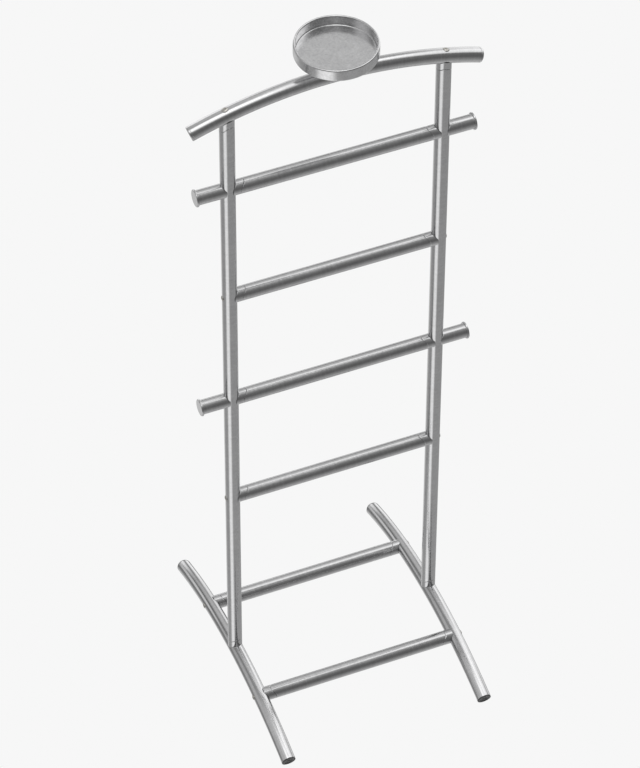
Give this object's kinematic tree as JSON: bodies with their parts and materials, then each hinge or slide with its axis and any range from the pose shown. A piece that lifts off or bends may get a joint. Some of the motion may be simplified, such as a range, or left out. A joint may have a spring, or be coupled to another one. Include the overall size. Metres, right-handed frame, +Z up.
{
  "type": "valet stand",
  "caption": "Free-standing valet stand of round steel tube: two uprights on arched feet, cross bars, pegs, an arched top bar and a small round tray.",
  "frame": {"origin": "on the floor, at the centre of the stand's base", "axes": "+Z up, +X across the stand along its bars, -Y its front"},
  "size_m": [0.4028, 0.4032, 1.1073],
  "materials": {
    "tube_steel": "satin, fine circumferential brushing",
    "end_piece_steel": "satin, like the tubes",
    "cap_steel": "bright satin",
    "tray_steel": "satin with a fine mottle",
    "foot_plastic": "matt black",
    "zinc_screws": "zinc plated"
  },
  "bodies": {
    "root": {"left_upright": "tube_steel", "right_upright": "tube_steel", "top_bar": "tube_steel", "left_foot": "tube_steel", "right_foot": "tube_steel", "cross_bar_1": "tube_steel", "cross_bar_2": "tube_steel", "cross_bar_3": "tube_steel", "cross_bar_4": "tube_steel", "front_base_bar": "tube_steel", "back_base_bar": "tube_steel", "upright_top_end_left": "end_piece_steel", "upright_top_end_right": "end_piece_steel", "upright_bottom_end_left": "end_piece_steel", "upright_bottom_end_right": "end_piece_steel", "cross_bar_1_end_left": "end_piece_steel", "cross_bar_1_end_right": "end_piece_steel", "cross_bar_2_end_left": "end_piece_steel", "cross_bar_2_end_right": "end_piece_steel", "cross_bar_3_end_left": "end_piece_steel", "cross_bar_3_end_right": "end_piece_steel", "cross_bar_4_end_left": "end_piece_steel", "cross_bar_4_end_right": "end_piece_steel", "front_base_bar_end_left": "end_piece_steel", "front_base_bar_end_right": "end_piece_steel", "back_base_bar_end_left": "end_piece_steel", "back_base_bar_end_right": "end_piece_steel", "peg_1_left": "tube_steel", "peg_1_right": "tube_steel", "peg_3_left": "tube_steel", "peg_3_right": "tube_steel", "peg_1_cap_left": "cap_steel", "peg_1_cap_right": "cap_steel", "peg_3_cap_left": "cap_steel", "peg_3_cap_right": "cap_steel", "top_bar_cap_left": "cap_steel", "top_bar_cap_right": "cap_steel", "foot_plug_front_left": "foot_plastic", "foot_plug_front_right": "foot_plastic", "foot_plug_back_left": "foot_plastic", "foot_plug_back_right": "foot_plastic", "tray": "tray_steel", "tray_post": "tube_steel", "tray_screw": "zinc_screws", "peg_inserts": "zinc_screws", "peg_studs": "zinc_screws", "top_bar_screws": "zinc_screws", "cross_bar_screws": "zinc_screws", "base_bar_screws": "zinc_screws", "foot_screws": "zinc_screws"}
  },
  "joints": []
}
